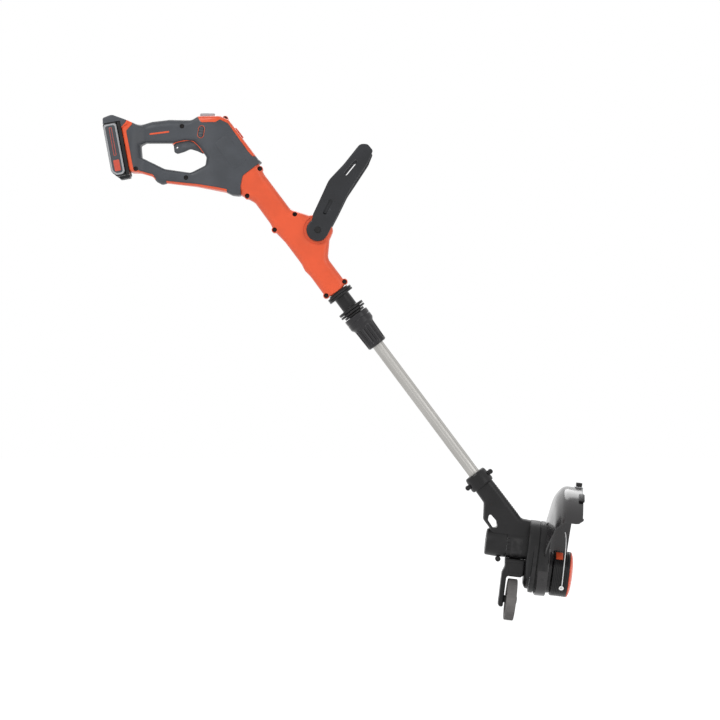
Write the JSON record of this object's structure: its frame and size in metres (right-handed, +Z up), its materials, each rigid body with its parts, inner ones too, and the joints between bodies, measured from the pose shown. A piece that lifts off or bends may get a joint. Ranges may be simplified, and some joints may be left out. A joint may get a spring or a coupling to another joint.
{
  "type": "cordless string trimmer",
  "caption": "Battery string trimmer: closed-loop rear grip, tilting bail front handle, telescopic shaft that turns for edging, guarded line head with an edge wheel.",
  "frame": {"origin": "on the flat underside of the rear grip, inside its closed loop, where the trimmer hangs on a hook", "axes": "+X from the battery towards the head, +Z up as pictured, +Y away from the viewer; the shaft runs down in the XZ plane"},
  "size_m": [0.8953, 0.289, 0.9483],
  "materials": {
    "grey_shell": "fine grained dark grey moulding",
    "light_grey_plastic": "satin grey button",
    "black_plastic": "fine grained black moulding",
    "orange_plastic": "satin orange-red moulding",
    "wheel_plastic": "scuffed mid-grey plastic",
    "white_line": "semi-matt white nylon",
    "tube_metal": "drawn, fluted along its length",
    "cell_metal": "plain",
    "steel": "plain zinc"
  },
  "bodies": {
    "handle": {"handle_shell_near": "grey_shell", "handle_shell_far": "grey_shell", "spine_cover": "orange_plastic", "lower_trim": "orange_plastic", "handle_screw_1": "steel", "handle_screw_2": "steel", "handle_screw_3": "steel", "trigger_pin": "steel", "trigger_spring": "steel", "switch_module": "black_plastic", "control_board": "black_plastic", "dock_trim": "orange_plastic", "terminal_block": "black_plastic", "shaft_shell_near": "orange_plastic", "shaft_shell_far": "orange_plastic", "housing_screw_1": "steel", "housing_screw_2": "steel", "housing_screw_3": "steel", "housing_screw_4": "steel", "housing_screw_5": "steel", "housing_screw_6": "steel", "upper_flange": "black_plastic", "aux_pivot_bolt": "black_plastic"},
    "trigger_lever": {"trigger": "black_plastic"},
    "lock_off": {"lock_off_button": "black_plastic"},
    "feed_key": {"feed_button": "light_grey_plastic"},
    "speed_key": {"speed_slider": "black_plastic"},
    "battery": {"battery_case": "black_plastic", "battery_rails": "black_plastic", "cell_pack": "cell_metal"},
    "latch": {"battery_latch": "black_plastic"},
    "front_handle": {"aux_handle": "black_plastic"},
    "sleeve": {"turn_sleeve": "black_plastic"},
    "collar": {"height_collar": "black_plastic"},
    "lower_shaft": {"inner_tube": "tube_metal", "head_shell_near": "black_plastic", "head_shell_far": "black_plastic", "motor_cover": "black_plastic", "motor_can": "cell_metal", "bearing_upper": "steel", "bearing_lower": "steel", "guard": "black_plastic", "guard_screw": "steel", "line_blade": "steel", "wheel_fork": "black_plastic", "wheel_axle": "black_plastic"},
    "wheel": {"edge_wheel": "wheel_plastic"},
    "motor": {"motor_shaft": "steel"},
    "spool": {"output_gear": "black_plastic", "spool_housing": "black_plastic", "line_eyelet": "tube_metal", "trimmer_line": "white_line"},
    "reel": {"line_spool": "black_plastic", "wound_line": "white_line"},
    "cap": {"spool_cap": "orange_plastic"},
    "tab_near": {"release_tab_near": "orange_plastic"},
    "tab_far": {"release_tab_far": "orange_plastic"}
  },
  "joints": [
    {"name": "trigger_pull", "type": "hinge", "parent": "handle", "child": "trigger_lever", "pos_m": [0.076, 0, 0.001], "axis": [0, 1, 0], "range_deg": [0, 8], "stiffness_Nm_per_rad": 1, "springref_deg": -8.02},
    {"name": "lock_off_push", "type": "slide", "parent": "handle", "child": "lock_off", "axis": [0, 1, 0], "range_m": [0, 0.003], "stiffness_N_per_m": 400, "springref_m": -0.005},
    {"name": "feed_push", "type": "slide", "parent": "handle", "child": "feed_key", "axis": [0, 0, -1], "range_m": [0, 0.003], "stiffness_N_per_m": 500, "springref_m": -0.004},
    {"name": "speed_slide", "type": "slide", "parent": "handle", "child": "speed_key", "axis": [0.599, 0, -0.8007], "range_m": [0, 0.012]},
    {"name": "battery_slide", "type": "slide", "parent": "handle", "child": "battery", "axis": [0.1822, 0, -0.9833], "range_m": [0, 0.11]},
    {"name": "latch_press", "type": "slide", "parent": "battery", "child": "latch", "axis": [-0.9833, 0, -0.1822], "range_m": [0, 0.003], "stiffness_N_per_m": 600, "springref_m": -0.004},
    {"name": "front_handle_tilt", "type": "hinge", "parent": "handle", "child": "front_handle", "pos_m": [0.29531, 0, -0.16305], "axis": [0, 1, 0], "range_deg": [-45, 45]},
    {"name": "edging_turn", "type": "hinge", "parent": "handle", "child": "sleeve", "pos_m": [0.4991, 0, -0.4989], "axis": [0.599, 0, -0.8007], "range_deg": [0, 180]},
    {"name": "collar_twist", "type": "hinge", "parent": "sleeve", "child": "collar", "pos_m": [0.4991, 0, -0.4989], "axis": [0.599, 0, -0.8007], "range_deg": [0, 60]},
    {"name": "shaft_length", "type": "slide", "parent": "sleeve", "child": "lower_shaft", "axis": [0.599, 0, -0.8007], "range_m": [-0.18, 0.06]},
    {"name": "wheel_spin", "type": "hinge", "parent": "lower_shaft", "child": "wheel", "pos_m": [0.65599, 0, -0.8527], "axis": [0.9925, 0, -0.1219], "continuous": true},
    {"name": "spool_spin", "type": "hinge", "parent": "lower_shaft", "child": "spool", "pos_m": [0.72571, 0, -0.80182], "axis": [0.9925, 0, -0.1219], "continuous": true},
    {"name": "motor_spin", "type": "hinge", "parent": "lower_shaft", "child": "motor", "pos_m": [0.73101, 0, -0.75864], "axis": [0.9925, 0, -0.1219], "continuous": true},
    {"name": "reel_turn", "type": "hinge", "parent": "spool", "child": "reel", "pos_m": [0.72571, 0, -0.80182], "axis": [0.9925, 0, -0.1219], "continuous": true},
    {"name": "cap_pull", "type": "slide", "parent": "spool", "child": "cap", "axis": [0.9925, 0, -0.1219], "range_m": [0, 0.06]},
    {"name": "tab_near_press", "type": "slide", "parent": "spool", "child": "tab_near", "axis": [-0.0998, 0.5736, -0.813], "range_m": [0, 0.002], "stiffness_N_per_m": 500, "springref_m": -0.003},
    {"name": "tab_far_press", "type": "slide", "parent": "spool", "child": "tab_far", "axis": [0.0998, -0.5736, 0.813], "range_m": [0, 0.002], "stiffness_N_per_m": 500, "springref_m": -0.003}
  ],
  "couplings": [
    {"joint": "motor_spin", "follows": "spool_spin", "ratio": -3.8333}
  ]
}
